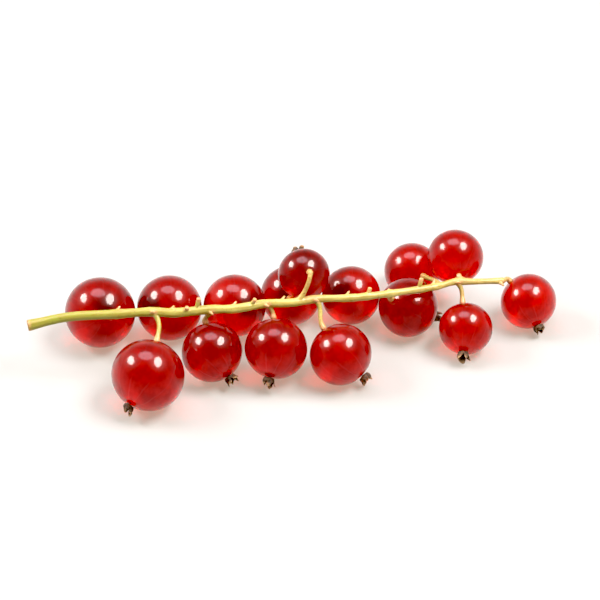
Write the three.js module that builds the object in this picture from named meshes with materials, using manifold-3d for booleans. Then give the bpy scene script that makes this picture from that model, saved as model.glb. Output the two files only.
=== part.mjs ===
// A sprig of redcurrants as picked: one strig with its berries, lying on a flat surface.
//
// Millimetres, +Z up. +X runs along the rachis from its cut end to its tip. The origin is under the
// middle of the sprig, on the surface that it lies on. The stalk (peduncle, rachis, pedicels, bracts
// and bare stubs) grew as one piece and is one mesh. Each berry is a mesh, and so is the dried flower
// that each berry keeps at its far end. Some berries rest on the surface, each on a small flat spot.

import * as THREE from "three";
import { mergeVertices } from "three/addons/utils/BufferGeometryUtils.js";
import Module from "manifold-3d";

const wasm = await Module();
wasm.setup();

// Driving dimensions of the rachis: a shallow bow that its berries hold up, from cut end to tip.

const RACHIS_POINTS = [
  [-8, -0.6, 8.4],
  [0, -0.5, 9.4],
  [9, -2.3, 10.1],
  [18, -3.5, 10.4],
  [30, -3.4, 10.5],
  [41, -3.1, 10.1],
  [50, -1.7, 9.4],
  [58, 0.2, 8.5],
  [63, 0.1, 7.8],
];
const RACHIS_RADIUS_AT_CUT = 0.66;
const RACHIS_RADIUS_AT_TIP = 0.36;
const CUT_END_FLARE = 0.16;
const CUT_END_FLARE_REACH = 1.4;
const NODE_SWELLING = 0.11;
const NODE_SWELLING_REACH = 0.9;
const ZIGZAG = 0.2; // how far each node leans away from its berry
const UNBENT_START = 0.08; // share of the rachis before its first bend
const RACHIS_STEPS = 60;
const RACHIS_SIDES = 9;

// Driving dimensions of the berries, from the cut end to the tip. Each grows at a node so far along
// the rachis, and is so wide. Its centre lies ahead of the node (towards the tip), and behind (+) or in
// front of it, with its underside so high. Its dried flower points away from the node, swung so many
// degrees anticlockwise seen from above. The hooked one's stalk joins it where stalkEnd points.

const BERRIES = [
  { at: 13.4, wide: 10.6, ahead: -0.9, behind: 6.9, underside: 0, swing: -25 },
  { at: 18.5, wide: 10.9, ahead: -1.9, behind: -8.4, underside: 0, swing: -30 },
  { at: 21.3, wide: 9.8, ahead: 1.6, behind: 8.2, underside: 0, swing: 20 },
  { at: 27.0, wide: 9.2, ahead: 0.0, behind: -2.5, underside: 0, swing: 35 },
  { at: 30.6, wide: 9.4, ahead: 2.2, behind: 7.4, underside: 0.7, swing: -15 },
  { at: 35.2, wide: 9.3, ahead: 1.0, behind: -4.1, underside: 0.6, swing: -35 },
  { at: 37.8, wide: 9.0, ahead: 4.5, behind: 9.0, underside: 0, swing: 10 },
  {
    at: 39.8, wide: 7.7, ahead: 1.6, behind: 4.1, underside: 7.2, swing: 25,
    stalkEnd: [0.1, -0.75, 0.65],
  },
  { at: 42.6, wide: 9.4, ahead: 2.9, behind: -6.0, underside: 0, swing: 25 },
  { at: 47.6, wide: 8.8, ahead: 3.0, behind: 7.6, underside: 0, swing: 15 },
  { at: 54.0, wide: 9.1, ahead: 3.6, behind: 1.8, underside: 0, swing: -40 },
  { at: 61.2, wide: 8.6, ahead: -0.4, behind: 9.8, underside: 0.9, swing: 20 },
  { at: 64.8, wide: 8.1, ahead: 0.6, behind: -5.2, underside: 0, swing: -20 },
  { at: 66.2, wide: 8.4, ahead: -0.6, behind: 5.4, underside: 5.0, swing: -25 },
  { at: 71.8, wide: 8.5, ahead: 3.2, behind: -0.5, underside: 0, swing: -68 },
];
const BERRY_SIDES = 18;
const BERRY_RINGS = 10;
const POLE_FLATTENING = 0.035; // share of the radius lost at the two ends
const BERRY_GAP = 0.15; // between neighbouring berries
const RACHIS_GAP = 0.35; // between a berry and the rachis
const SETTLE_PASSES = 60;
const RESTING_WITHIN = 0.3; // an underside this near the surface is set down on it
const FOOT_DEPTH = 0.12; // how much of a resting berry is flattened

const FLOWER_CLEARANCE = 0.15; // between a dried flower and the surface
const STALK_SHARE = 0.35; // how far the stalk's end moves from facing its node to facing the flower's

// Driving dimensions of the pedicels, bracts and stubs.

const PEDICEL_ROOT_RADIUS = 0.42;
const PEDICEL_RADIUS = 0.27;
const PEDICEL_END_RADIUS = 0.48;
const PEDICEL_ROOT_REACH = 0.25; // shares of its length that its two thick ends take
const PEDICEL_END_REACH = 0.12;
const PEDICEL_FORWARD_LEAN = 0.7;
const PEDICEL_BOW_AT_NODE = 0.45; // shares of its span that it keeps to its first and last heading
const PEDICEL_BOW_AT_BERRY = 0.4;
const PEDICEL_STEPS = 9;
const PEDICEL_SIDES = 7;

// Bracts and stubs stand out from the rachis by their length, lean forward and curl outwards again.

const OUTGROWTH_BEND = 0.6; // shares of its length: where it starts to curl, and how far it does
const OUTGROWTH_CURL = 0.35;
const OUTGROWTH_STEPS = 3;
const OUTGROWTH_SIDES = 6;
const BRACT = { length: 0.7, radius: 0.3, tipShare: 0.35, lean: 1 };
const BRACT_SETBACK = 0.7;
const BRACT_TURN = THREE.MathUtils.degToRad(65);

// Pedicels that have lost their berries: distance along the rachis, turn round it from straight up
// towards the back (+) or the front (-), length and forward lean.

const STUBS = [
  { at: 23.3, turn: -20, length: 0.45, lean: 0.2 },
  { at: 24.8, turn: 12, length: 1.05, lean: 0.35 },
  { at: 32.8, turn: -8, length: 0.7, lean: 0.8 },
  { at: 50.4, turn: 25, length: 0.6, lean: 0.5 },
  { at: 58.4, turn: 15, length: 0.95, lean: 0.4 },
];
const STUB_RADIUS = 0.26;
const STUB_TIP_SHARE = 1.1;

// Driving dimensions of a dried flower.

const SEED = 11;
const SEPAL_COUNT = 5;
const CUP_RADIUS = 0.85;
const CUP_HEIGHT = 0.55;
const SEPAL_LENGTH = 0.95;
const SEPAL_VARIATION = 0.25; // share of the length
const FLOWER_LENGTH_MOST = SEPAL_LENGTH * (1 + SEPAL_VARIATION);
const SEPAL_SPREAD = 0.4;
const SEPAL_SPREAD_LEAST = 0.3; // shares of the spread
const SEPAL_SPREAD_RANGE = 1.1;
const CUP_FOOT_SHARE = 0.8; // share of the cup's radius where it meets the berry
const CUP_WIDENING = 0.35; // share of the cup's radius gained up to the sepals' tips
const FLOWER_COLUMNS = 4 * SEPAL_COUNT;
const FLOWER_RINGS = 3;
const FLOWER_HOLLOW = 0.8;
const FLOWER_GAP = 0.1; // between a berry and its dried flower or its pedicel

const MATERIALS = {
  stalk: new THREE.MeshStandardMaterial({ color: "#c6c05a", roughness: 0.55, metalness: 0 }),
  berry: new THREE.MeshStandardMaterial({ color: "#b30a0c", roughness: 0.12, metalness: 0 }),
  flower: new THREE.MeshStandardMaterial({ color: "#6b4a2c", roughness: 0.85, metalness: 0 }),
};

const UP = new THREE.Vector3(0, 0, 1);

// Solids

function toSolid(geometry) {
  const bare = geometry.clone();
  bare.deleteAttribute("normal");
  bare.deleteAttribute("uv");
  const merged = mergeVertices(bare, 1e-5);
  return new wasm.Manifold(
    new wasm.Mesh({
      numProp: 3,
      vertProperties: new Float32Array(merged.getAttribute("position").array),
      triVerts: new Uint32Array(merged.getIndex().array),
    }),
  );
}

function toGeometry(solid) {
  const { vertProperties, triVerts } = solid.getMesh();
  const geometry = new THREE.BufferGeometry();
  geometry.setAttribute("position", new THREE.BufferAttribute(vertProperties, 3));
  geometry.setIndex(new THREE.BufferAttribute(triVerts, 1));
  return geometry;
}

function fuse(geometries) {
  return toGeometry(geometries.map(toSolid).reduce((whole, piece) => whole.add(piece)));
}

function moveVertices(geometry, place) {
  const position = geometry.getAttribute("position");
  const point = new THREE.Vector3();
  for (let i = 0; i < position.count; i++) {
    place(point.fromBufferAttribute(position, i));
    position.setXYZ(i, point.x, point.y, point.z);
  }
  return geometry;
}

// A closed tube along a path: a cylinder along Y, bent and given its radius step by step.
function bentTube(path, radiusAt, steps, sides) {
  const { normals, binormals } = path.computeFrenetFrames(steps, false);
  const cylinder = new THREE.CylinderGeometry(1, 1, 1, sides, steps);
  return moveVertices(cylinder, (point) => {
    const step = Math.round((point.y + 0.5) * steps);
    const radius = radiusAt(step / steps);
    const across = point.x * radius;
    const aside = -point.z * radius;
    point
      .copy(path.getPointAt(step / steps))
      .addScaledVector(normals[step], across)
      .addScaledVector(binormals[step], aside);
  });
}

// Rachis

const bow = new THREE.CatmullRomCurve3(
  RACHIS_POINTS.map((place) => new THREE.Vector3(...place)),
);

// The bow with a slight bend at each node, away from the berry that grows there.
function rachisCurve() {
  const bends = BERRIES.map(({ at, behind }) => {
    const node = bow.getPointAt(Math.min(at / bow.getLength(), 1));
    node.y -= Math.sign(behind) * ZIGZAG;
    return node;
  });
  return new THREE.CatmullRomCurve3([bow.getPointAt(0), bow.getPointAt(UNBENT_START), ...bends]);
}

const rachis = rachisCurve();
const rachisLength = rachis.getLength();

function swelling(distance, height, reach) {
  return height * Math.exp(-((distance / reach) ** 2));
}

function rachisRadius(share) {
  const distance = share * rachisLength;
  const nodes = [...BERRIES, ...STUBS].map((side) => side.at);
  const nearest = Math.min(...nodes.map((station) => Math.abs(distance - station)));
  return (
    THREE.MathUtils.lerp(RACHIS_RADIUS_AT_CUT, RACHIS_RADIUS_AT_TIP, share) +
    swelling(nearest, NODE_SWELLING, NODE_SWELLING_REACH) +
    swelling(distance, CUT_END_FLARE, CUT_END_FLARE_REACH)
  );
}

function nodeAt(station) {
  const share = Math.min(station / rachisLength, 1);
  return { share, point: rachis.getPointAt(share), tangent: rachis.getTangentAt(share) };
}

// Berries: placed from the table, then pushed clear of each other and of the rachis.

function seededRandom(seed) {
  let state = seed;
  return () => {
    state = (state * 16807) % 2147483647;
    return state / 2147483647;
  };
}

function firstPlace({ at, wide, ahead, behind, underside, swing, stalkEnd }) {
  const node = nodeAt(at);
  const radius = wide / 2;
  const centre = new THREE.Vector3(node.point.x + ahead, node.point.y + behind, underside + radius);
  return { at, node, radius, centre, swing: THREE.MathUtils.degToRad(swing), hookedAt: stalkEnd };
}

function pushClear(berry, from, reach) {
  const away = berry.centre.clone().sub(from);
  const shortfall = reach - away.length();
  if (shortfall > 0) {
    berry.centre.addScaledVector(away.normalize(), shortfall);
  }
}

function settle(berries) {
  const rachisSamples = rachis.getSpacedPoints(RACHIS_STEPS);
  for (let pass = 0; pass < SETTLE_PASSES; pass++) {
    for (const berry of berries) {
      for (const other of berries) {
        if (other !== berry) {
          pushClear(berry, other.centre, berry.radius + other.radius + BERRY_GAP);
        }
      }
      for (const sample of rachisSamples) {
        pushClear(berry, sample, berry.radius + RACHIS_RADIUS_AT_CUT + RACHIS_GAP);
      }
      berry.centre.z = Math.max(berry.centre.z, berry.radius);
    }
  }
}

// The steepest that a dried flower may point down without touching the surface.
function steepestDip(berry) {
  const reach = berry.radius + FLOWER_GAP + CUP_HEIGHT + FLOWER_LENGTH_MOST;
  const spread = CUP_RADIUS + SEPAL_SPREAD;
  const room = berry.centre.z - FOOT_DEPTH - FLOWER_CLEARANCE;
  return Math.asin(Math.min(1, room / Math.hypot(reach, spread))) - Math.atan2(spread, reach);
}

// The two ends of a berry: its flower points away from the node, and its stalk joins it across.
function aim(berry) {
  const towardsNode = berry.node.point.clone().sub(berry.centre).normalize();
  const dip = Math.min(Math.asin(towardsNode.z), steepestDip(berry));
  const heading = Math.atan2(-towardsNode.y, -towardsNode.x) + berry.swing;
  berry.flowerEnd = new THREE.Vector3(
    Math.cos(heading) * Math.cos(dip),
    Math.sin(heading) * Math.cos(dip),
    -Math.sin(dip),
  );
  berry.stalkEnd = berry.hookedAt
    ? new THREE.Vector3(...berry.hookedAt).normalize()
    : towardsNode.lerp(berry.flowerEnd.clone().negate(), STALK_SHARE).normalize();
}

function surfaceReach(berry, direction) {
  const alongAxis = direction.dot(berry.flowerEnd);
  return berry.radius * (1 - POLE_FLATTENING * alongAxis ** 2);
}

function berryGeometry(berry) {
  const turn = new THREE.Quaternion().setFromUnitVectors(
    new THREE.Vector3(0, 1, 0),
    berry.flowerEnd,
  );
  return moveVertices(new THREE.SphereGeometry(1, BERRY_SIDES, BERRY_RINGS), (point) => {
    const direction = point.applyQuaternion(turn).normalize();
    direction.multiplyScalar(surfaceReach(berry, direction));
  });
}

// Lowers a berry that rests on the surface, so that its flat spot is FOOT_DEPTH deep.
function lower(berry) {
  const geometry = berryGeometry(berry);
  geometry.computeBoundingBox();
  const underside = berry.centre.z + geometry.boundingBox.min.z;
  if (underside < RESTING_WITHIN) {
    berry.centre.z -= underside + FOOT_DEPTH;
  }
}

function berryMesh(berry, index) {
  const { x, y, z } = berry.centre;
  const whole = berryGeometry(berry).translate(x, y, z);
  const under = 4 * berry.radius;
  const below = new THREE.BoxGeometry(under, under, under).translate(x, y, -under / 2);
  const mesh = new THREE.Mesh(
    toGeometry(toSolid(whole).subtract(toSolid(below))),
    MATERIALS.berry,
  );
  mesh.name = `berry_${index}`;
  return mesh;
}

// Stalk

function pedicel(berry) {
  const { point, tangent } = berry.node;
  const reach = surfaceReach(berry, berry.stalkEnd) + FLOWER_GAP;
  const end = berry.centre.clone().addScaledVector(berry.stalkEnd, reach);
  const span = point.distanceTo(end);
  const leave = end.clone().sub(point).normalize();
  leave.addScaledVector(tangent, PEDICEL_FORWARD_LEAN).normalize();
  const path = new THREE.CubicBezierCurve3(
    point,
    point.clone().addScaledVector(leave, span * PEDICEL_BOW_AT_NODE),
    end.clone().addScaledVector(berry.stalkEnd, span * PEDICEL_BOW_AT_BERRY),
    end,
  );
  const radiusAt = (share) =>
    PEDICEL_RADIUS +
    swelling(share, PEDICEL_ROOT_RADIUS - PEDICEL_RADIUS, PEDICEL_ROOT_REACH) +
    swelling(1 - share, PEDICEL_END_RADIUS - PEDICEL_RADIUS, PEDICEL_END_REACH);
  return bentTube(path, radiusAt, PEDICEL_STEPS, PEDICEL_SIDES);
}

// A short outgrowth on the side of the rachis that heading gives. Its length counts from the bark.
function outgrowth(node, heading, { length, radius, tipShare, lean }) {
  const whole = length + rachisRadius(node.share);
  const leave = heading.clone().addScaledVector(node.tangent, lean).normalize();
  const path = new THREE.QuadraticBezierCurve3(
    node.point,
    node.point.clone().addScaledVector(leave, whole * OUTGROWTH_BEND),
    node.point.clone().addScaledVector(leave, whole).addScaledVector(heading, length * OUTGROWTH_CURL),
  );
  const radiusAt = (share) => radius * THREE.MathUtils.lerp(1, tipShare, share);
  return bentTube(path, radiusAt, OUTGROWTH_STEPS, OUTGROWTH_SIDES);
}

// The bract that a pedicel grew behind: nearer to the cut end, and turned round the rachis from the
// berry's side, upwards where the berry hangs and downwards where it stands.
function bract(berry) {
  const node = nodeAt(berry.at - BRACT_SETBACK);
  const heading = berry.centre.clone().sub(node.point).projectOnPlane(node.tangent).normalize();
  const upwards = heading.clone().cross(UP).dot(node.tangent) * (heading.z < 0 ? 1 : -1);
  heading.applyAxisAngle(node.tangent, Math.sign(upwards) * BRACT_TURN);
  return outgrowth(node, heading, BRACT);
}

function stub({ at, turn, length, lean }) {
  const angle = THREE.MathUtils.degToRad(turn);
  const heading = new THREE.Vector3(0, Math.sin(angle), Math.cos(angle));
  return outgrowth(nodeAt(at), heading, {
    length,
    lean,
    radius: STUB_RADIUS,
    tipShare: STUB_TIP_SHARE,
  });
}

function stalkMesh(berries) {
  const mesh = new THREE.Mesh(
    fuse([
      bentTube(rachis, rachisRadius, RACHIS_STEPS, RACHIS_SIDES),
      ...berries.map(pedicel),
      ...berries.map(bract),
      ...STUBS.map(stub),
    ]),
    MATERIALS.stalk,
  );
  mesh.name = "stalk";
  return mesh;
}

// Dried flowers: a cup with pointed sepals round a hollow, standing along Y before it is turned.

function driedFlower(berry, index, random) {
  const sepals = Array.from({ length: SEPAL_COUNT }, () => ({
    length: SEPAL_LENGTH * (1 + SEPAL_VARIATION * (2 * random() - 1)),
    spread: SEPAL_SPREAD * (SEPAL_SPREAD_LEAST + SEPAL_SPREAD_RANGE * random()),
  }));
  const shape = new THREE.CylinderGeometry(1, 1, 1, FLOWER_COLUMNS, FLOWER_RINGS);
  moveVertices(shape, (point) => {
    const height = point.y + 0.5;
    const across = Math.hypot(point.x, point.z);
    const turn = Math.atan2(point.z, point.x) / (2 * Math.PI) + 1;
    const place = (turn * SEPAL_COUNT) % SEPAL_COUNT;
    const sepal = sepals[Math.floor(place + 0.5) % SEPAL_COUNT];
    const tongue = Math.abs(Math.cos(Math.PI * place));
    if (across < 0.5) {
      point.set(0, height * (CUP_HEIGHT + SEPAL_LENGTH - FLOWER_HOLLOW), 0);
      return;
    }
    const reach = CUP_HEIGHT + sepal.length * tongue ** 2;
    const wall = CUP_RADIUS * (CUP_FOOT_SHARE + CUP_WIDENING * height);
    const radius = wall + sepal.spread * tongue * height ** 2;
    point.multiplyScalar(radius / across).setY(height * reach);
  });
  const base = surfaceReach(berry, berry.flowerEnd) + FLOWER_GAP;
  const mesh = new THREE.Mesh(shape, MATERIALS.flower);
  mesh.position.copy(berry.centre).addScaledVector(berry.flowerEnd, base);
  mesh.quaternion.setFromUnitVectors(new THREE.Vector3(0, 1, 0), berry.flowerEnd);
  mesh.name = `dried_flower_${index}`;
  return mesh;
}

// The sprig

function buildSprig() {
  const random = seededRandom(SEED);
  const berries = BERRIES.map(firstPlace);
  settle(berries);
  berries.forEach(aim);
  berries.forEach(lower);

  const sprig = new THREE.Group();
  sprig.add(stalkMesh(berries));
  berries.forEach((berry, i) => sprig.add(berryMesh(berry, i + 1)));
  berries.forEach((berry, i) => sprig.add(driedFlower(berry, i + 1, random)));

  const box = new THREE.Box3().setFromObject(sprig);
  const middle = box.getCenter(new THREE.Vector3());
  sprig.position.set(-middle.x, -middle.y, 0);
  return sprig;
}

export default buildSprig();
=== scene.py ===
"""A sprig of redcurrants: clear red berries, a pale stalk and dried flowers round a fixed frame.

The script is laid out as an add-on and is run as a script. The frame gives every place and size:
each berry, dried flower and stalk here replaces the plain node of the frame that holds its space.
Lengths are metres.
"""

import math

import bpy
import numpy as np
from mathutils import Matrix, Vector
from mathutils.kdtree import KDTree


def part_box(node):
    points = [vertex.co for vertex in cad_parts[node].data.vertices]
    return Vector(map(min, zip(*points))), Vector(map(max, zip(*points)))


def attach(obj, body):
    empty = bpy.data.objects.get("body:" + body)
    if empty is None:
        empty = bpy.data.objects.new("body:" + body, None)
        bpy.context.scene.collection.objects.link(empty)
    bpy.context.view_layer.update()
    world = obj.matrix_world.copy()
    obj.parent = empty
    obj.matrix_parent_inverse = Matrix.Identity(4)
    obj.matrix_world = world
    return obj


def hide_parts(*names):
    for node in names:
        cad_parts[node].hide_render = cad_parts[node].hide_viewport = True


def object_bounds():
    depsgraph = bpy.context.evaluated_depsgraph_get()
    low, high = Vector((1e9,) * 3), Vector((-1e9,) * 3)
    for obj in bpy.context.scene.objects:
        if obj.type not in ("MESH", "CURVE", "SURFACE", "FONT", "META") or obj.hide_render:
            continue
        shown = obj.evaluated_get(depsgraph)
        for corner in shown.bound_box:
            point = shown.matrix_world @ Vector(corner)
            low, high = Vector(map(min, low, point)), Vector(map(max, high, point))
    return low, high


bl_info = {
    "name": "Redcurrant Sprig",
    "version": (1, 0, 0),
    "blender": (4, 5, 0),
    "location": "View3D > Sidebar > Redcurrants",
    "description": "Dresses a redcurrant sprig with clear berries, a grown stalk and dried flowers",
    "category": "Object",
}

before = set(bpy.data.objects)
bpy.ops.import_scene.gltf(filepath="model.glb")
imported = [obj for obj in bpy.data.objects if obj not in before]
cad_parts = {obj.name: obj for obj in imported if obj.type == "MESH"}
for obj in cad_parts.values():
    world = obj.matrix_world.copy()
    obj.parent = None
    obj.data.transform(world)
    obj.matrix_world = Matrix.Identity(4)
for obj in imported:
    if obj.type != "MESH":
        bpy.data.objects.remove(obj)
CAD_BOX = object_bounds()

MM = 0.001
BODY = "root"
PEDICEL_END_DEPTH = 0.15 * MM
BERRY_NODES = sorted(
    (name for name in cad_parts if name.startswith("berry_")),
    key=lambda name: int(name.split("_")[1]),
)


# What the frame says about each berry


def points_of(mesh):
    """The mesh's corners, as an array."""
    points = np.empty(len(mesh.vertices) * 3)
    mesh.vertices.foreach_get("co", points)
    return points.reshape(-1, 3)


STALK_POINTS = points_of(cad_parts["stalk"].data)


class Berry:
    """Where one berry of the frame lies, and where its two ends point."""

    def __init__(self, node):
        self.number = int(node.split("_")[1])
        self.node = node
        low, high = (Vector(corner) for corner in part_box(node))
        self.radius = max(high.x - low.x, high.y - low.y) / 2
        self.centre = (low + high) / 2
        self.centre.z = high.z - self.radius
        self.flower_node = f"dried_flower_{self.number}"
        low, high = (Vector(corner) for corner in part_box(self.flower_node))
        self.flower_end = ((low + high) / 2 - self.centre).normalized()
        from_centre, distance = self.measured(STALK_POINTS)
        joined = from_centre[distance < distance.min() + PEDICEL_END_DEPTH]
        self.stalk_end = Vector(joined.mean(axis=0)).normalized()

    def measured(self, points):
        """Each point as seen from the berry's centre, and how far off it is."""
        from_centre = points - np.array(self.centre)
        return from_centre, np.linalg.norm(from_centre, axis=1)

    def facing(self, from_centre, distance):
        """How directly each point lies over the stalk's end: 1 on its axis, 0 at the equator."""
        return from_centre @ np.array(self.stalk_end) / distance


BERRIES = [Berry(node) for node in BERRY_NODES]


# Short calls for building node trees


class Graph:
    """Adds linked nodes to a tree. A value is a number, a vector or another node's output."""

    def __init__(self, tree):
        self.tree = tree

    def add(self, kind, inputs=None, **settings):
        """A new node with these settings and these values at its inputs."""
        made = self.tree.nodes.new(kind)
        for name, value in settings.items():
            setattr(made, name, value)
        for key, value in (inputs or {}).items():
            if isinstance(value, bpy.types.NodeSocket):
                self.tree.links.new(value, made.inputs[key])
            else:
                made.inputs[key].default_value = value
        return made

    def math(self, operation, *values, clamp=False):
        """The result of an operation on numbers."""
        inputs = dict(enumerate(values))
        return self.add("ShaderNodeMath", inputs, operation=operation, use_clamp=clamp).outputs[0]

    def vector(self, operation, *values):
        """The result of an operation on vectors."""
        node = self.add("ShaderNodeVectorMath", dict(enumerate(values)), operation=operation)
        return node.outputs["Value" if operation == "DOT_PRODUCT" else "Vector"]

    def scaled(self, vector, factor):
        """The vector times a number."""
        node = self.add("ShaderNodeVectorMath", {0: vector, "Scale": factor}, operation="SCALE")
        return node.outputs["Vector"]

    def bell(self, value, centre, width):
        """1 at the centre and falling to 0 over the width, as a bell curve."""
        offset = self.math("DIVIDE", self.math("SUBTRACT", value, centre), width)
        square = self.math("MULTIPLY", offset, offset)
        return self.math("EXPONENT", self.math("MULTIPLY", square, -1.0))

    def smooth(self, value, low, high, to_low=0.0, to_high=1.0):
        """The value eased from one number to another while it goes from low to high."""
        node = self.add(
            "ShaderNodeMapRange",
            {"Value": value, 1: low, 2: high, 3: to_low, 4: to_high},
            interpolation_type="SMOOTHSTEP",
        )
        return node.outputs[0]

    def noise(self, vector, scale, detail=2.0, roughness=0.5, seed=None):
        """Soft noise round 0.5, different for each seed."""
        inputs = {"Vector": vector, "Scale": scale, "Detail": detail, "Roughness": roughness}
        if seed is not None:
            inputs["W"] = seed
        dimensions = "3D" if seed is None else "4D"
        return self.add("ShaderNodeTexNoise", inputs, noise_dimensions=dimensions).outputs[0]

    def marked(self, geometry, name, value, data_type="FLOAT"):
        """The geometry with this value stored at its points, for the material to read."""
        inputs = {"Geometry": geometry, "Name": name, "Value": value}
        kind = "GeometryNodeStoreNamedAttribute"
        return self.add(kind, inputs, data_type=data_type, domain="POINT").outputs[0]

    def read(self, name, output="Fac"):
        """A value that is stored on the mesh."""
        return self.add("ShaderNodeAttribute", attribute_name=name).outputs[output]

    def mix_color(self, share, color, added):
        """The first colour with this share of the second mixed in."""
        inputs = {0: share, 6: color, 7: added}
        return self.add("ShaderNodeMix", inputs, data_type="RGBA").outputs[2]


SOCKETS = {
    float: "NodeSocketFloat",
    int: "NodeSocketInt",
    Vector: "NodeSocketVector",
    bpy.types.Material: "NodeSocketMaterial",
}


def geometry_tree(name, inputs):
    """A Geometry Nodes tree with these named inputs, its graph and its group input node."""
    tree = bpy.data.node_groups.new(name, "GeometryNodeTree")
    tree.interface.new_socket("Geometry", in_out="OUTPUT", socket_type="NodeSocketGeometry")
    for label, kind in inputs.items():
        tree.interface.new_socket(label, in_out="INPUT", socket_type=SOCKETS[kind])
    graph = Graph(tree)
    return tree, graph, graph.add("NodeGroupInput").outputs


def close_tree(graph, geometry, material):
    """Ends a tree with smooth faces, real meshes and the material."""
    smooth = graph.add("GeometryNodeSetShadeSmooth", {"Geometry": geometry})
    real = graph.add("GeometryNodeRealizeInstances", {"Geometry": smooth.outputs[0]})
    inputs = {"Geometry": real.outputs[0], "Material": material}
    dressed = graph.add("GeometryNodeSetMaterial", inputs)
    graph.add("NodeGroupOutput", {0: dressed.outputs[0]})


def bare_material(name):
    """A material without nodes, and the graph that its nodes go into."""
    material = bpy.data.materials.new(name)
    material.use_nodes = True
    material.node_tree.nodes.clear()
    return material, Graph(material.node_tree)


def evaluated(piece):
    """A new mesh of the object's form, as its modifiers leave it."""
    graph = bpy.context.evaluated_depsgraph_get()
    return bpy.data.meshes.new_from_object(piece.evaluated_get(graph), depsgraph=graph)


def grow(name, tree, values):
    """Runs a tree with these values and returns the result as a plain mesh object."""
    source = bpy.data.objects.new(name, bpy.data.meshes.new(name))
    bpy.context.collection.objects.link(source)
    modifier = source.modifiers.new("Grow", "NODES")
    modifier.node_group = tree
    for label, value in values.items():
        modifier[tree.interface.items_tree[label].identifier] = value
    mesh = evaluated(source)
    mesh.name = name
    source.modifiers.clear()
    source.data = mesh
    return source


def finish_piece(piece, slot, *nodes):
    """Attaches the piece to the body that carries it and hides the frame's nodes that it stands
    for; the slot is not used.
    """
    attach(piece, BODY)
    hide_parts(*nodes)


# Settings


class BerryLook(bpy.types.PropertyGroup):
    """Sizes and colours of the berries."""

    flattening: bpy.props.FloatProperty(
        name="Flattening",
        description="Share of the radius that a berry loses at its two ends",
        default=0.035,
        subtype="FACTOR",
    )
    lumps: bpy.props.FloatProperty(
        name="Lumps",
        description="How far the skin strays from an even curve, as a share of the radius",
        default=0.022,
        subtype="FACTOR",
    )
    skin: bpy.props.FloatVectorProperty(
        name="Skin",
        description="Colour of the ripe skin and the flesh behind it",
        default=(0.69, 0.014, 0.004),
        subtype="COLOR",
    )
    bright: bpy.props.FloatVectorProperty(
        name="Bright",
        description="Colour of the least ripe berries, near the tip",
        default=(0.88, 0.028, 0.008),
        subtype="COLOR",
    )
    deep: bpy.props.FloatVectorProperty(
        name="Deep",
        description="Colour of the ripest berries and of the darker mottling",
        default=(0.36, 0.003, 0.001),
        subtype="COLOR",
    )
    vein: bpy.props.FloatVectorProperty(
        name="Vein",
        description="Colour of the veins that show through the skin",
        default=(0.80, 0.06, 0.03),
        subtype="COLOR",
    )
    juice: bpy.props.FloatVectorProperty(
        name="Juice",
        description="Colour of the light that the flesh lets through",
        default=(0.93, 0.12, 0.03),
        subtype="COLOR",
    )
    density: bpy.props.FloatProperty(
        name="Density",
        description="How strongly the flesh takes up light, per metre",
        default=220.0,
    )


class StalkLook(bpy.types.PropertyGroup):
    """Sizes and colours of the stalk."""

    voxel: bpy.props.FloatProperty(
        name="Voxel",
        description="Size of the cells that the stalk's surface is rebuilt from",
        default=0.085 * MM,
        subtype="DISTANCE",
        precision=6,
    )
    swell: bpy.props.FloatProperty(
        name="Swell",
        description="How far the surface stands out from the facets that it is rebuilt from",
        default=0.08 * MM,
        subtype="DISTANCE",
        precision=6,
    )
    pale: bpy.props.FloatVectorProperty(
        name="Pale",
        description="Colour of the rachis",
        default=(0.475, 0.405, 0.118),
        subtype="COLOR",
    )
    olive: bpy.props.FloatVectorProperty(
        name="Olive",
        description="Colour of the stalk's ridges and patches",
        default=(0.25, 0.19, 0.03),
        subtype="COLOR",
    )
    green: bpy.props.FloatVectorProperty(
        name="Green",
        description="Colour towards the cut end",
        default=(0.24, 0.25, 0.035),
        subtype="COLOR",
    )
    amber: bpy.props.FloatVectorProperty(
        name="Amber",
        description="Colour of the pedicels at the berries and of the rachis near its tip",
        default=(0.46, 0.28, 0.11),
        subtype="COLOR",
    )
    blush: bpy.props.FloatVectorProperty(
        name="Blush",
        description="Colour of the bracts' and the bare stubs' tips",
        default=(0.60, 0.30, 0.16),
        subtype="COLOR",
    )
    scar: bpy.props.FloatVectorProperty(
        name="Scar",
        description="Colour of specks, of the dry cut end and of the pedicels' ends",
        default=(0.16, 0.09, 0.03),
        subtype="COLOR",
    )


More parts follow.
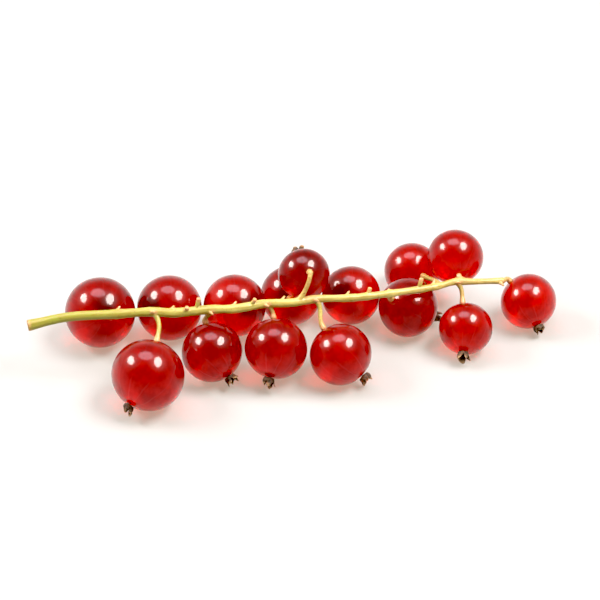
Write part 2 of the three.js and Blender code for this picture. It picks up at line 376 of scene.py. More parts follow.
class FlowerLook(bpy.types.PropertyGroup):
    """Sizes and colours of the dried flowers."""

    sepals: bpy.props.IntProperty(
        name="Sepals",
        description="How many sepals a dried flower keeps",
        default=5,
    )
    sepal_length: bpy.props.FloatProperty(
        name="Sepal Length",
        description="Length of the longest sepals above their cup",
        default=0.8 * MM,
        subtype="DISTANCE",
        precision=6,
    )
    cup_radius: bpy.props.FloatProperty(
        name="Cup Radius",
        description="Radius of the cup that the sepals stand on",
        default=0.85 * MM,
        subtype="DISTANCE",
        precision=6,
    )
    cup_height: bpy.props.FloatProperty(
        name="Cup Height",
        description="Height of the cup that the sepals stand on",
        default=0.6 * MM,
        subtype="DISTANCE",
        precision=6,
    )
    wall: bpy.props.FloatProperty(
        name="Wall",
        description="Thickness of the cup and of its sepals",
        default=0.16 * MM,
        subtype="DISTANCE",
        precision=6,
    )
    crumple: bpy.props.FloatProperty(
        name="Crumple",
        description="How far withering moves the sepals",
        default=0.7 * MM,
        subtype="DISTANCE",
        precision=6,
    )
    brown: bpy.props.FloatVectorProperty(
        name="Brown",
        description="Colour of the dry sepals",
        default=(0.13, 0.064, 0.031),
        subtype="COLOR",
    )
    # The sepals' own dark mottling, which also serves as painted shade because it lies where their
    # bumps sink into creases.
    dark_and_crease_shade: bpy.props.FloatVectorProperty(
        name="Dark",
        description="Colour of the folds between the sepals",
        default=(0.022, 0.012, 0.007),
        subtype="COLOR",
    )
    tan: bpy.props.FloatVectorProperty(
        name="Tan",
        description="Colour of the sepals' dry tips",
        default=(0.48, 0.30, 0.15),
        subtype="COLOR",
    )


class StageLook(bpy.types.PropertyGroup):
    """The view, the floor and the lights."""

    azimuth: bpy.props.FloatProperty(
        name="Azimuth",
        description="Where the camera stands, turned from the front",
        default=math.radians(-8.6),
        subtype="ANGLE",
    )
    elevation: bpy.props.FloatProperty(
        name="Elevation",
        description="How far the camera looks down",
        default=math.radians(38.0),
        subtype="ANGLE",
    )
    field: bpy.props.FloatProperty(
        name="Field",
        description="Width that the view shows at the sprig",
        default=0.0891,
        subtype="DISTANCE",
    )
    distance: bpy.props.FloatProperty(
        name="Distance",
        description="From the camera to the sprig",
        default=0.6,
        subtype="DISTANCE",
    )
    table: bpy.props.FloatVectorProperty(
        name="Table",
        description="Colour of the table, which the softboxes light up to white",
        default=(0.214, 0.222, 0.238),
        subtype="COLOR",
    )
    glow: bpy.props.FloatVectorProperty(
        name="Table Glow",
        description="Light that comes through the table from below",
        default=(0.36, 0.313, 0.248),
        subtype="COLOR",
    )
    softbox: bpy.props.FloatProperty(
        name="Softbox Radiance",
        description="Brightness of the two softboxes' faces",
        default=30.0,
    )
    black: bpy.props.FloatProperty(
        name="Black",
        description="Brightness that the picture shows as black",
        default=0.03,
    )
    surroundings: bpy.props.FloatProperty(
        name="Surroundings",
        description="Brightness of the room all round",
        default=0.5,
    )
    backdrop: bpy.props.FloatProperty(
        name="Backdrop",
        description="Brightness of the white backdrop behind the table",
        default=0.5,
    )


# Berries


BERRY_DETAIL = 6
RIPENESS_STEP = 0.618
STALK_SPOT_COLOR = (0.50, 0.20, 0.05, 1.0)
FLOWER_SPOT_COLOR = (0.16, 0.02, 0.01, 1.0)


def berry_tree():
    """A berry: an even sphere, flattened at its ends, with soft lumps and a dimple at each end."""
    tree, g, given = geometry_tree(
        "Berry",
        {
            "Detail": int,
            "Centre": Vector,
            "Radius": float,
            "Flower End": Vector,
            "Stalk End": Vector,
            "Aside": Vector,
            "Flattening": float,
            "Lumps": float,
            "Ripeness": float,
            "Seed": float,
            "Material": bpy.types.Material,
        },
    )
    sphere = g.add("GeometryNodeMeshIcoSphere", {"Radius": 1.0, "Subdivisions": given["Detail"]})
    direction = g.vector("NORMALIZE", g.add("GeometryNodeInputPosition").outputs[0])

    # The axis bends from the flower's end to the stalk's, which aren't quite opposite.
    near_stalk = g.smooth(g.vector("DOT_PRODUCT", direction, given["Stalk End"]), -0.3, 1.0)
    across = g.scaled(given["Stalk End"], -1.0)
    bent = g.vector(
        "ADD",
        g.scaled(given["Flower End"], g.math("SUBTRACT", 1.0, near_stalk)),
        g.scaled(across, near_stalk),
    )
    axis = g.vector("NORMALIZE", bent)
    along = g.vector("DOT_PRODUCT", direction, axis)
    right = g.vector("NORMALIZE", g.vector("CROSS_PRODUCT", axis, given["Aside"]))
    up = g.vector("CROSS_PRODUCT", axis, right)
    place = g.add(
        "ShaderNodeCombineXYZ",
        {
            0: g.vector("DOT_PRODUCT", direction, right),
            1: g.vector("DOT_PRODUCT", direction, up),
            2: along,
        },
    ).outputs[0]
    marked = g.marked(sphere.outputs["Mesh"], "place", place, "FLOAT_VECTOR")
    marked = g.marked(marked, "ripeness", given["Ripeness"])

    # Heights here are shares of the radius.
    ends = g.math("MULTIPLY", given["Flattening"], g.math("POWER", along, 2.0))
    swell = g.math("SUBTRACT", g.noise(direction, 0.9, 1.0, 0.4, given["Seed"]), 0.5)
    dimple_at_flower = g.math("MULTIPLY", g.bell(along, 1.0, 0.035), 0.016)
    dimple_at_stalk = g.math("MULTIPLY", g.bell(along, -1.0, 0.02), 0.014)
    reach = g.math("SUBTRACT", 1.0, ends)
    reach = g.math("ADD", reach, g.math("MULTIPLY", swell, given["Lumps"]))
    reach = g.math("SUBTRACT", reach, dimple_at_flower)
    reach = g.math("SUBTRACT", reach, dimple_at_stalk)
    skin = g.scaled(direction, g.math("MULTIPLY", reach, given["Radius"]))
    placed = g.vector("ADD", given["Centre"], skin)
    above_floor = g.vector("MAXIMUM", placed, (-1.0, -1.0, 0.0))
    shaped = g.add("GeometryNodeSetPosition", {"Geometry": marked, "Position": above_floor})
    close_tree(g, shaped.outputs[0], given["Material"])
    return tree


def berry_skin():
    """Glossy red skin over clear red flesh, mottled, with faint pale veins from end to end."""
    look = bpy.context.scene.redcurrant_berries
    material, g = bare_material("Redcurrant skin")
    where = g.add("ShaderNodeTexCoord").outputs["Object"]
    ripeness = g.read("ripeness")
    aside, upward, along = g.add("ShaderNodeSeparateXYZ", {0: g.read("place", "Vector")}).outputs

    color = g.mix_color(g.smooth(ripeness, 0.0, 0.5), (*look.bright, 1.0), (*look.skin, 1.0))
    color = g.mix_color(g.smooth(ripeness, 0.5, 1.0, 0.0, 0.7), color, (*look.deep, 1.0))
    mottling = g.smooth(g.noise(where, 420.0, 3.0, 0.55), 0.7, 0.35, 0.0, 0.8)
    color = g.mix_color(mottling, color, (*look.deep, 1.0))

    # Twelve veins, strongest round the flower's end and in the least ripe berries.
    turn = g.math("ARCTAN2", upward, aside)
    wobble = g.math("MULTIPLY", g.noise(where, 260.0, 2.0), 1.6)
    wave = g.math("ABSOLUTE", g.math("SINE", g.math("MULTIPLY_ADD", turn, 6.0, wobble)))
    near_flower = g.smooth(along, 1.0, 0.1, 0.24, 0.08)
    veins = g.math("MULTIPLY", g.smooth(wave, 0.3, 0.0), near_flower)
    veins = g.math("MULTIPLY", veins, g.smooth(ripeness, 1.0, 0.0, 0.6, 1.1))
    color = g.mix_color(veins, color, (*look.vein, 1.0))

    stalk_spot = g.math("MULTIPLY", g.bell(along, -1.0, 0.016), 0.6)
    color = g.mix_color(stalk_spot, color, STALK_SPOT_COLOR)
    flower_spot = g.math("MULTIPLY", g.bell(along, 1.0, 0.03), 0.5)
    color = g.mix_color(flower_spot, color, FLOWER_SPOT_COLOR)

    grain = g.noise(where, 5200.0, 2.0, 0.6)
    bump = g.add("ShaderNodeBump", {"Strength": 0.05, "Distance": 0.02 * MM, "Height": grain})

    # Cloudy flesh under a clear, wet-looking skin.
    flesh = g.add(
        "ShaderNodeBsdfPrincipled",
        {
            "Base Color": color,
            "Normal": bump.outputs[0],
            "Roughness": 0.35,
            "IOR": 1.26,
            "Coat Weight": 1.0,
            "Coat Roughness": 0.03,
            "Coat IOR": 1.34,
            "Transmission Weight": 0.94,
            "Subsurface Weight": 1.0,
            "Subsurface Radius": (1.0, 0.1, 0.05),
            "Subsurface Scale": 6.0 * MM,
            "Subsurface IOR": 1.36,
            "Subsurface Anisotropy": 0.8,
        },
        subsurface_method="RANDOM_WALK_SKIN",
    )
    absorbed = {"Color": (*look.juice, 1.0), "Density": look.density}
    juice = g.add("ShaderNodeVolumeAbsorption", absorbed)
    ends = {"Surface": flesh.outputs[0], "Volume": juice.outputs[0]}
    g.add("ShaderNodeOutputMaterial", ends)
    return material


class REDCURRANT_OT_berries(bpy.types.Operator):
    """Grow one clear berry over each berry of the frame"""

    bl_idname = "redcurrant.berries"
    bl_label = "Berries"

    def execute(self, context):
        look = context.scene.redcurrant_berries
        tree = berry_tree()
        material = berry_skin()
        length = CAD_BOX[1][0] - CAD_BOX[0][0]
        for berry in BERRIES:
            to_tip = (berry.centre.x - CAD_BOX[0][0]) / length
            spread = (berry.number * RIPENESS_STEP) % 1.0
            piece = grow(
                f"redcurrant_{berry.number}",
                tree,
                {
                    "Detail": BERRY_DETAIL,
                    "Centre": berry.centre,
                    "Radius": berry.radius,
                    "Flower End": berry.flower_end,
                    "Stalk End": berry.stalk_end,
                    "Aside": berry.flower_end.orthogonal().normalized(),
                    "Flattening": look.flattening,
                    "Lumps": look.lumps,
                    "Ripeness": 0.5 * (1.0 + spread - to_tip),
                    "Seed": float(berry.number * 3),
                    "Material": material,
                },
            )
            finish_piece(piece, "berry_skin", berry.node)
        return {"FINISHED"}


# Stalk


# Long smoothing moves only the thin ends further than this, and pink reaches this far from them.
END_DRAWN_BACK = 0.125 * MM
TIP_REACH = 0.5 * MM

# Below this height over its berry a pedicel sinks in, at most by this much.
JOINT_HEIGHT = 0.45 * MM
JOINT_SINK = 0.25 * MM

AMBER_REACH = 2.4 * MM
GRAIN_FADE = 0.8 * MM
GRAIN_STRETCH = 0.93


def rebuilt_stalk(name, look):
    """The frame's stalk as one even, rounded surface."""
    # The mesh is in millimetres until its modifiers have run.
    mesh = bpy.data.meshes.new(name)
    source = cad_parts["stalk"].data
    mesh.from_pydata(
        [vertex.co / MM for vertex in source.vertices],
        [],
        [tuple(polygon.vertices) for polygon in source.polygons],
    )
    piece = bpy.data.objects.new(name, mesh)
    bpy.context.collection.objects.link(piece)
    weld = piece.modifiers.new("Weld", "WELD")
    weld.merge_threshold = 1e-4
    remesh = piece.modifiers.new("Remesh", "REMESH")
    remesh.mode = "VOXEL"
    remesh.voxel_size = look.voxel / MM
    swell = piece.modifiers.new("Displace", "DISPLACE")
    swell.mid_level = 0.0
    swell.strength = look.swell / MM
    relax = piece.modifiers.new("Smooth", "SMOOTH")
    relax.factor = 0.5
    relax.iterations = 6
    fine = evaluated(piece)
    piece.modifiers.clear()
    fine.transform(Matrix.Scale(MM, 4))
    piece.data = fine
    return piece


def mark(mesh, name, values):
    """Stores a number or a vector at each corner of the mesh, for the material to read."""
    kind, field = ("FLOAT", "value") if values.ndim == 1 else ("FLOAT_VECTOR", "vector")
    mesh.attributes.new(name, kind, "POINT").data.foreach_set(field, values.ravel())


def mark_tips(piece):
    """Stores how near each corner is to a thin end, which smoothing draws back the furthest."""
    relax = piece.modifiers.new("Smooth", "SMOOTH")
    relax.iterations = 60
    drawn_back = evaluated(piece)
    piece.modifiers.clear()
    points = points_of(piece.data)
    moved = np.linalg.norm(points_of(drawn_back) - points, axis=1)
    bpy.data.meshes.remove(drawn_back)
    ends = points[moved > END_DRAWN_BACK]
    near_end = KDTree(len(ends))
    for index, end in enumerate(ends):
        near_end.insert(end, index)
    near_end.balance()
    away = np.array([near_end.find(point)[2] for point in points])
    mark(piece.data, "tip", np.clip(1.3 - away / TIP_REACH, 0, 1))


def join_to_berries(mesh):
    """Moves the pedicels' ends into their berries and stores how near the surface is to one."""
    points = points_of(mesh)
    nearness = np.zeros(len(points))
    for berry in BERRIES:
        from_centre, distance = berry.measured(points)
        height = distance - berry.radius
        facing = berry.facing(from_centre, distance)
        joins = (height < JOINT_HEIGHT) & (facing > 0.9)
        sink = np.clip(1 - height[joins] / JOINT_HEIGHT, 0, 1) * JOINT_SINK
        points[joins] -= (from_centre[joins] / distance[joins, None]) * sink[:, None]
        reach = np.clip(1 - height / AMBER_REACH, 0, 1) * (facing > 0.55)
        nearness = np.maximum(nearness, reach)
    mesh.vertices.foreach_set("co", points.ravel())
    mark(mesh, "near_berry", nearness)


def drawn_out(points, axis):
    """The points squeezed along the axis, where a pattern read from them comes out long."""
    axis = np.array(axis)
    return points - GRAIN_STRETCH * np.outer(points @ axis, axis)


def mark_grain(mesh):
    """Stores where the ridges are read from, so that they run along rachis and pedicels."""
    points = points_of(mesh)
    grain = drawn_out(points, (1.0, 0.0, 0.0))
    for berry in BERRIES:
        from_centre, distance = berry.measured(points)
        height = distance - berry.radius
        share = np.clip((berry.facing(from_centre, distance) - 0.8) / 0.1, 0, 1)
        share *= np.clip(2.6 - height / GRAIN_FADE, 0, 1)
        grain += share[:, None] * (drawn_out(points, berry.stalk_end) - grain)
    mark(mesh, "grain", grain)


def stalk_skin():
    """Pale ridged stalk, greener at the cut end, amber at the berries, pink at its thin ends."""
    look = bpy.context.scene.redcurrant_stalk
    material, g = bare_material("Redcurrant stalk")
    where = g.add("ShaderNodeTexCoord").outputs["Object"]
    along = g.add("ShaderNodeSeparateXYZ", {0: where}).outputs[0]
    near = g.read("near_berry")
    cut_end = CAD_BOX[0][0]

    patches = g.noise(where, 330.0, 3.0, 0.6)
    uneven = g.math("MULTIPLY_ADD", patches, 20 * MM, along)
    from_cut = g.smooth(uneven, cut_end + 12 * MM, cut_end + 50 * MM)
    color = g.mix_color(from_cut, (*look.green, 1.0), (*look.pale, 1.0))
    to_tip = g.smooth(uneven, 10 * MM, 42 * MM, 0.0, 0.5)
    color = g.mix_color(to_tip, color, (*look.amber, 1.0))
    color = g.mix_color(g.smooth(patches, 0.42, 0.68, 0.0, 0.5), color, (*look.olive, 1.0))
    color = g.mix_color(g.smooth(near, 0.05, 0.9), color, (*look.amber, 1.0))
    color = g.mix_color(g.smooth(near, 0.86, 1.0, 0.0, 0.8), color, (*look.scar, 1.0))
    color = g.mix_color(g.math("MULTIPLY", g.read("tip"), 0.9), color, (*look.blush, 1.0))

    ridges = g.noise(g.read("grain", "Vector"), 4200.0, 3.0, 0.55)
    color = g.mix_color(g.smooth(ridges, 0.42, 0.68, 0.0, 0.65), color, (*look.olive, 1.0))
    specks = g.smooth(g.noise(where, 2600.0, 3.0, 0.6), 0.62, 0.70, 0.0, 0.7)
    color = g.mix_color(specks, color, (*look.scar, 1.0))
    ragged = g.math("MULTIPLY_ADD", ridges, 0.6 * MM, along)
    dried = g.smooth(ragged, cut_end + 0.6 * MM, cut_end + 0.3 * MM)
    color = g.mix_color(g.math("MULTIPLY", dried, 0.6), color, (*look.scar, 1.0))
    bump = g.add("ShaderNodeBump", {"Strength": 0.7, "Distance": 0.04 * MM, "Height": ridges})

    rind = g.add(
        "ShaderNodeBsdfPrincipled",
        {
            "Base Color": color,
            "Normal": bump.outputs[0],
            "Roughness": 0.38,
            "Subsurface Weight": 0.3,
            "Subsurface Radius": (1.0, 0.65, 0.2),
            "Subsurface Scale": 0.25 * MM,
        },
    )
    g.add("ShaderNodeOutputMaterial", {"Surface": rind.outputs[0]})
    return material


class REDCURRANT_OT_stalk(bpy.types.Operator):
    """Rebuild the stalk with a fine surface that joins each berry"""

    bl_idname = "redcurrant.stalk"
    bl_label = "Stalk"

    def execute(self, context):
        piece = rebuilt_stalk("strig_stalk", context.scene.redcurrant_stalk)
        mark_tips(piece)
        join_to_berries(piece.data)
        mark_grain(piece.data)
        piece.data.polygons.foreach_set("use_smooth", [True] * len(piece.data.polygons))
        piece.data.materials.append(stalk_skin())
        finish_piece(piece, "stalk", "stalk")
        return {"FINISHED"}


# Dried flowers


SEPAL_COLUMNS, SEPAL_ROWS = 91, 33
SUNK_IN_BERRY = 0.25 * MM
# Nearly black paint inside the dried flower's cup: its dark centre, and painted shade in the
# hollow.
DARK_CENTRE_AND_SHADE_COLOR = (0.02, 0.014, 0.006, 1.0)


def sepal_wall(g, given):
    """One sheet bent to a cup: up its outer side, over the sepals' tips and down inside."""
    size = {"Vertices X": given["Columns"], "Vertices Y": given["Rows"]}
    sheet = g.add("GeometryNodeMeshGrid", {"Size X": 1.0, "Size Y": 1.0, **size})
    here = g.add("GeometryNodeInputPosition").outputs[0]
    flat = g.add("ShaderNodeSeparateXYZ", {0: here}).outputs
    around = g.math("ADD", flat[0], 0.5)
    rise = g.math("ADD", flat[1], 0.5)
    turn = g.math("MULTIPLY", around, math.tau)
    from_tips = g.math("ABSOLUTE", g.math("MULTIPLY_ADD", rise, 2.0, -1.0))
    up_wall = g.math("SUBTRACT", 1.0, from_tips)
    inside = g.smooth(rise, 0.46, 0.54)
    on_cup = g.math("DIVIDE", up_wall, 0.4, clamp=True)
    on_sepal = g.math("DIVIDE", g.math("SUBTRACT", up_wall, 0.4), 0.6, clamp=True)

    # Each sepal has its own length and leans its own way.
    which = g.math("MULTIPLY", around, given["Sepals"])
    across = g.math("MULTIPLY_ADD", g.math("FRACT", which), 2.0, -1.0)
    breadth = g.math("SUBTRACT", 1.0, g.math("POWER", g.math("ABSOLUTE", across), 2.6))
    number = g.math("MODULO", g.math("FLOOR", which), given["Sepals"])
    key = g.add("ShaderNodeCombineXYZ", {0: number, 1: given["Seed"]}).outputs[0]
    drawn = g.add("ShaderNodeTexWhiteNoise", {"Vector": key}, noise_dimensions="3D")
    chance = g.add("ShaderNodeSeparateXYZ", {0: drawn.outputs["Color"]}).outputs
    share = g.math("MULTIPLY_ADD", chance[0], 0.55, 0.6)
    length = g.math("MULTIPLY", given["Sepal Length"], share)
    lean = g.math("MULTIPLY_ADD", chance[1], 1.1, -0.55)
    lean = g.math("MULTIPLY", lean, g.math("POWER", on_sepal, 1.5))
    fold = g.math("MULTIPLY", g.math("POWER", across, 2.0), g.math("MULTIPLY", on_sepal, -0.3))

    tip = g.math("MULTIPLY", on_sepal, breadth)
    on_tip = g.math("MULTIPLY", length, tip)
    height = g.math("MULTIPLY_ADD", given["Cup Height"], on_cup, on_tip)
    sunk = g.math("MULTIPLY", inside, g.math("SUBTRACT", 1.0, on_cup))
    height = g.math("MULTIPLY_ADD", g.math("MULTIPLY", given["Cup Height"], 0.5), sunk, height)

    reach = g.math("MULTIPLY_ADD", on_cup, 0.16, 0.84)
    reach = g.math("ADD", reach, g.math("MULTIPLY", g.math("ADD", lean, fold), breadth))
    radius = g.math("MULTIPLY", given["Cup Radius"], reach)
    thinning = g.math("SUBTRACT", 1.0, g.math("POWER", on_sepal, 3.0))
    thickness = g.math("MULTIPLY", g.math("MULTIPLY", given["Wall"], inside), thinning)
    radius = g.math("SUBTRACT", radius, thickness)

    # The sheet closes to a point at its start, under the cup, and at its end, on the cup's floor.
    start = g.math("DIVIDE", rise, 0.06, clamp=True)
    start = g.math("MULTIPLY", start, g.math("SUBTRACT", 1.0, inside))
    end = g.math("DIVIDE", g.math("SUBTRACT", 1.0, rise), 0.16, clamp=True)
    end = g.math("MULTIPLY", end, inside)
    radius = g.math("MULTIPLY", radius, g.math("ADD", start, end))

    x = g.math("MULTIPLY", radius, g.math("COSINE", turn))
    y = g.math("MULTIPLY", radius, g.math("SINE", turn))
    shape = g.add("ShaderNodeCombineXYZ", {0: x, 1: y, 2: height}).outputs[0]
    # The cup's inside below the tips, marked for the nearly black paint: the dark centre and
    # painted shade in the hollow.
    dark_centre_and_shade = g.math("MULTIPLY", inside, g.math("SUBTRACT", 1.0, tip))
    marked = g.marked(sheet.outputs["Mesh"], "dark_centre_and_shade", dark_centre_and_shade)
    marked = g.marked(marked, "tip", tip)
    wall = g.add("GeometryNodeSetPosition", {"Geometry": marked, "Position": shape}).outputs[0]
    seam = {"Geometry": wall, "Distance": 0.002 * MM}
    return g.add("GeometryNodeMergeByDistance", seam).outputs[0]


def withered_threads(g, given):
    """A few thin threads that stand in the cup, each slanting its own way."""
    ring = g.math("MULTIPLY", given["Cup Radius"], 0.3)
    spots = g.add("GeometryNodeMeshCircle", {"Vertices": 4, "Radius": ring})
    thread = g.add(
        "GeometryNodeMeshCone",
        {
            "Vertices": 7,
            "Side Segments": 10,
            "Radius Top": g.math("MULTIPLY", given["Wall"], 0.3),
            "Radius Bottom": g.math("MULTIPLY", given["Wall"], 0.7),
            "Depth": given["Sepal Length"],
        },
    )
    seed = g.add("FunctionNodeFloatToInt", {0: given["Seed"]}).outputs[0]
    limits = {0: (-0.5, -0.5, 0.0), 1: (0.5, 0.5, 6.0), "Seed": seed}
    slant = g.add("FunctionNodeRandomValue", limits, data_type="FLOAT_VECTOR")
    threads = g.add(
        "GeometryNodeInstanceOnPoints",
        {
            "Points": spots.outputs[0],
            "Instance": thread.outputs["Mesh"],
            "Rotation": slant.outputs[0],
        },
    )
    cup_floor = g.math("MULTIPLY", given["Cup Height"], 0.5)
    lift = g.add("ShaderNodeCombineXYZ", {2: cup_floor}).outputs[0]
    lifted = g.add("GeometryNodeTransform", {"Geometry": threads.outputs[0], "Translation": lift})
    return lifted.outputs[0]


def crumpled(g, geometry, given):
    """The geometry withered: its foot a little and its sepals a lot."""
    here = g.add("GeometryNodeInputPosition").outputs[0]
    above = g.add("ShaderNodeSeparateXYZ", {0: here}).outputs[2]
    full_height = g.math("ADD", given["Cup Height"], given["Sepal Length"])
    loose = g.smooth(above, 0.0, full_height, 0.25, 1.0)
    folds = []
    for scale, share in ((900.0, 1.0), (2600.0, 0.45)):
        inputs = {"Vector": here, "Scale": scale, "Detail": 1.0, "W": given["Seed"]}
        waves = g.add("ShaderNodeTexNoise", inputs, noise_dimensions="4D").outputs["Color"]
        folds.append(g.scaled(g.vector("SUBTRACT", waves, (0.5, 0.5, 0.5)), share))
    push = g.scaled(g.vector("ADD", *folds), g.math("MULTIPLY", given["Crumple"], loose))
    return g.add("GeometryNodeSetPosition", {"Geometry": geometry, "Offset": push}).outputs[0]


def flower_tree():
    """A dried flower: a crumpled cup with sepals round a few withered threads."""
    tree, g, given = geometry_tree(
        "Dried flower",
        {
            "Base": Vector,
            "Axis": Vector,
            "Sepals": float,
            "Sepal Length": float,
            "Cup Radius": float,
            "Cup Height": float,
            "Wall": float,
            "Crumple": float,
            "Columns": int,
            "Rows": int,
            "Seed": float,
            "Material": bpy.types.Material,
        },
    )
    whole = g.add("GeometryNodeJoinGeometry")
    for part in (sepal_wall(g, given), withered_threads(g, given)):
        tree.links.new(part, whole.inputs[0])
    real = g.add("GeometryNodeRealizeInstances", {"Geometry": whole.outputs[0]})
    dry = crumpled(g, real.outputs[0], given)
    facing = g.add("FunctionNodeAlignRotationToVector", {"Vector": given["Axis"]}, axis="Z")
    placed = g.add(
        "GeometryNodeTransform",
        {"Geometry": dry, "Translation": given["Base"], "Rotation": facing.outputs[0]},
    )
    close_tree(g, placed.outputs[0], given["Material"])
    return tree


def flower_skin():
    """Dry brown sepals with paler tips and painted shade in their creases, round a cup whose inside
    is painted nearly black: its dark centre and painted shade.
    """
    look = bpy.context.scene.redcurrant_flowers
    material, g = bare_material("Dried flower")
    where = g.add("ShaderNodeTexCoord").outputs["Object"]
    # The fold noise sinks the bumps and brings in the dark colour at the same places: the sepals'
    # own dark mottling and painted shade in their creases.
    folds = g.noise(where, 2400.0, 4.0, 0.65)
    color = g.mix_color(g.smooth(folds, 0.35, 0.7), (*look.dark_and_crease_shade, 1.0), (*look.brown, 1.0))
    near_tip = g.smooth(g.read("tip"), 0.35, 1.0)
    pale = g.math("MULTIPLY", near_tip, g.smooth(folds, 0.3, 0.6, 0.3, 1.0))
    color = g.mix_color(g.math("MULTIPLY", pale, 0.8), color, (*look.tan, 1.0))
    # Inside the cup, nearly black paint for the dark centre and as painted shade in the hollow.
    inside = g.smooth(g.read("dark_centre_and_shade"), 0.2, 0.8, 0.0, 0.9)
    color = g.mix_color(inside, color, DARK_CENTRE_AND_SHADE_COLOR)
    bump = g.add("ShaderNodeBump", {"Strength": 0.8, "Distance": 0.06 * MM, "Height": folds})
    sepal = g.add(
        "ShaderNodeBsdfPrincipled",
        {
            "Base Color": color,
            "Normal": bump.outputs[0],
            "Roughness": 0.7,
            "Subsurface Weight": 0.15,
            "Subsurface Scale": 0.2 * MM,
        },
    )
    g.add("ShaderNodeOutputMaterial", {"Surface": sepal.outputs[0]})
    return material


class REDCURRANT_OT_dried_flowers(bpy.types.Operator):
    """Grow a dried flower at the far end of each berry"""

    bl_idname = "redcurrant.dried_flowers"
    bl_label = "Dried flowers"

    def execute(self, context):
        look = context.scene.redcurrant_flowers
        tree = flower_tree()
        material = flower_skin()
        for berry in BERRIES:
            piece = grow(
                f"dry_flower_{berry.number}",
                tree,
                {
                    "Base": berry.centre + berry.flower_end * (berry.radius - SUNK_IN_BERRY),
                    "Axis": berry.flower_end,
                    "Sepals": float(look.sepals),
                    "Sepal Length": look.sepal_length,
                    "Cup Radius": look.cup_radius,
                    "Cup Height": look.cup_height,
                    "Wall": look.wall,
                    "Crumple": look.crumple,
                    "Columns": SEPAL_COLUMNS,
                    "Rows": SEPAL_ROWS,
                    "Seed": float(berry.number),
                    "Material": material,
                },
            )
            finish_piece(piece, "dried_flower", berry.flower_node)
        return {"FINISHED"}


# Stage


VIEW_CENTRE = Vector((0.0013, 0.0032, 0.006))
SENSOR_WIDTH = 36.0
LIGHT_DISTANCE = 0.6
WARM = (1.0, 0.96, 0.9)
PINK = (1.0, 0.86, 0.95)
ROOM_LOW_COLOR = (1.0, 1.0, 1.0, 1.0)
ROOM_HIGH_COLOR = (1.0, 0.93, 0.84, 1.0)
# Each light's highlight on a berry, whose disc has the radius 1: its place (x, y), width and
# height. Then the light's share of the softboxes' brightness, and its colour.
LIGHTS = {
    "softbox_left": ((-0.46, 0.37, 0.18, 0.25), 1.0, WARM),
    "softbox_right": ((0.28, 0.37, 0.22, 0.31), 1.0, WARM),
    "ceiling": ((-0.06, 0.54, 0.42, 0.24), 0.22, PINK),
}


def camera_axes(azimuth, elevation):
    """The camera's own axes: to the right, up and towards it, for a turn and a height of view."""
    towards = Vector(
        (
            math.sin(azimuth) * math.cos(elevation),
            -math.cos(azimuth) * math.cos(elevation),
            math.sin(elevation),
        )
    )
    right = Vector((math.cos(azimuth), math.sin(azimuth), 0.0))
    return right, towards.cross(right), towards


def seen_in_berry(x, y, axes):
    """The direction that a mirror ball shows at this place of its disc, whose radius is 1."""
    right, up, towards = axes
    normal = right * x + up * y + towards * math.sqrt(1 - x * x - y * y)
    return normal * (2 * normal.dot(towards)) - towards


def add_light(name, highlight, radiance, color, axes):
    """An oval light that shows on each berry as this highlight."""
    x, y, width, height = highlight
    direction = seen_in_berry(x, y, axes)
    step = 0.01
    across = (seen_in_berry(x + step, y, axes) - seen_in_berry(x - step, y, axes)) / (2 * step)
    upward = (seen_in_berry(x, y + step, axes) - seen_in_berry(x, y - step, axes)) / (2 * step)

    # The light's two axes are those of the oval of directions that the highlight covers.
    spread = np.array([across * width / 2, upward * height / 2]).T
    turns, sizes, _ = np.linalg.svd(spread, full_matrices=False)
    light = bpy.data.lights.new(name, "AREA")
    light.shape = "ELLIPSE"
    light.size, light.size_y = (float(2 * size * LIGHT_DISTANCE) for size in sizes)
    light.energy = radiance * math.pi**2 * light.size * light.size_y / 4
    light.color = color
    lamp = bpy.data.objects.new(name, light)
    along = Vector(turns[:, 0])
    lamp.matrix_world = Matrix.LocRotScale(
        VIEW_CENTRE + direction * LIGHT_DISTANCE,
        Matrix((along, direction.cross(along), direction)).transposed().to_quaternion(),
        None,
    )
    bpy.context.collection.objects.link(lamp)


def room(look, axes):
    """An even pale room, brighter where its white backdrop meets the table."""
    world = bpy.data.worlds.new("Room")
    bpy.context.scene.world = world
    world.use_nodes = True
    world.node_tree.nodes.clear()
    g = Graph(world.node_tree)
    direction = g.add("ShaderNodeTexCoord").outputs["Generated"]
    height = g.add("ShaderNodeSeparateXYZ", {0: direction}).outputs[2]
    backwards = Vector((-axes[2].x, -axes[2].y, 0.0)).normalized()
    behind = g.smooth(g.vector("DOT_PRODUCT", direction, backwards), 0.0, 0.9, 0.9, 1.0)
    low = g.smooth(height, 0.6, 0.0)
    glow = g.math("MULTIPLY", g.math("MULTIPLY", behind, low), look.backdrop)
    tint = g.mix_color(g.smooth(height, 0.1, 0.5), ROOM_LOW_COLOR, ROOM_HIGH_COLOR)
    strength = g.math("ADD", glow, look.surroundings)
    light = g.add("ShaderNodeBackground", {"Color": tint, "Strength": strength})
    g.add("ShaderNodeOutputWorld", {"Surface": light.outputs[0]})


def floor_piece(look):
    """A white table, lit a little from below."""
    half = 3.0
    mesh = bpy.data.meshes.new("floor")
    corners = [(-half, -half, 0), (half, -half, 0), (half, half, 0), (-half, half, 0)]
    mesh.from_pydata(corners, [], [(0, 1, 2, 3)])
    floor = bpy.data.objects.new("floor", mesh)
    bpy.context.collection.objects.link(floor)
    material = bpy.data.materials.new("White table")
    material.use_nodes = True
    shader = material.node_tree.nodes["Principled BSDF"].inputs
    shader["Base Color"].default_value = (*look.table, 1.0)
    shader["Roughness"].default_value = 0.6
    shader["Specular IOR Level"].default_value = 0.2
    shader["Emission Color"].default_value = (*look.glow, 1.0)
    shader["Emission Strength"].default_value = 1.0
    mesh.materials.append(material)
    return floor


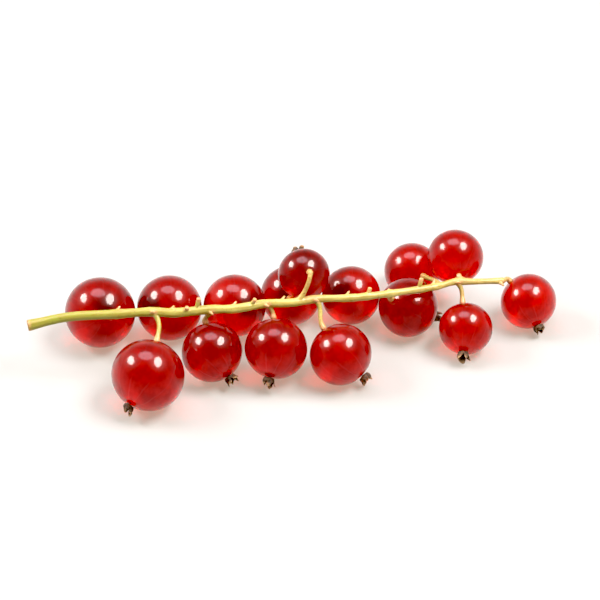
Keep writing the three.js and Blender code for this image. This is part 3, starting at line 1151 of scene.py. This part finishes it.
def add_camera(look, axes):
    """A camera at its distance, whose lens shows the field's width at the sprig."""
    camera = bpy.data.objects.new("camera", bpy.data.cameras.new("camera"))
    bpy.context.collection.objects.link(camera)
    camera.matrix_world = Matrix.LocRotScale(
        VIEW_CENTRE + axes[2] * look.distance,
        Matrix(axes).transposed().to_quaternion(),
        None,
    )
    camera.data.sensor_width = SENSOR_WIDTH
    camera.data.lens = SENSOR_WIDTH * look.distance / look.field
    camera.data.clip_start = 0.01
    bpy.context.scene.camera = camera


class REDCURRANT_OT_stage(bpy.types.Operator):
    """Set the white floor, the softboxes and the camera"""

    bl_idname = "redcurrant.stage"
    bl_label = "Stage"

    def execute(self, context):
        look = context.scene.redcurrant_stage
        view = context.scene.view_settings
        view.view_transform = "Standard"
        view.use_curve_mapping = True
        view.curve_mapping.black_level = (look.black,) * 3
        floor_piece(look)
        axes = camera_axes(look.azimuth, look.elevation)
        room(look, axes)
        for name, (highlight, share, color) in LIGHTS.items():
            add_light(name, highlight, look.softbox * share, color, axes)
        add_camera(look, axes)
        return {"FINISHED"}


class REDCURRANT_PT_panel(bpy.types.Panel):
    """Lists the steps that dress the sprig"""

    bl_idname = "REDCURRANT_PT_panel"
    bl_label = "Redcurrant sprig"
    bl_space_type = "VIEW_3D"
    bl_region_type = "UI"
    bl_category = "Redcurrants"

    def draw(self, context):
        for operator in OPERATORS:
            self.layout.operator(operator.bl_idname)


LOOKS = {
    "redcurrant_berries": BerryLook,
    "redcurrant_stalk": StalkLook,
    "redcurrant_flowers": FlowerLook,
    "redcurrant_stage": StageLook,
}
OPERATORS = (
    REDCURRANT_OT_stage,
    REDCURRANT_OT_berries,
    REDCURRANT_OT_stalk,
    REDCURRANT_OT_dried_flowers,
)


def register():
    for name, look in LOOKS.items():
        bpy.utils.register_class(look)
        setattr(bpy.types.Scene, name, bpy.props.PointerProperty(type=look))
    for operator in OPERATORS:
        bpy.utils.register_class(operator)
    bpy.utils.register_class(REDCURRANT_PT_panel)


def unregister():
    bpy.utils.unregister_class(REDCURRANT_PT_panel)
    for operator in reversed(OPERATORS):
        bpy.utils.unregister_class(operator)
    for name, look in LOOKS.items():
        delattr(bpy.types.Scene, name)
        bpy.utils.unregister_class(look)


def main():
    register()
    bpy.ops.redcurrant.stage()
    bpy.ops.redcurrant.berries()
    bpy.ops.redcurrant.stalk()
    bpy.ops.redcurrant.dried_flowers()


if __name__ == "__main__":
    main()
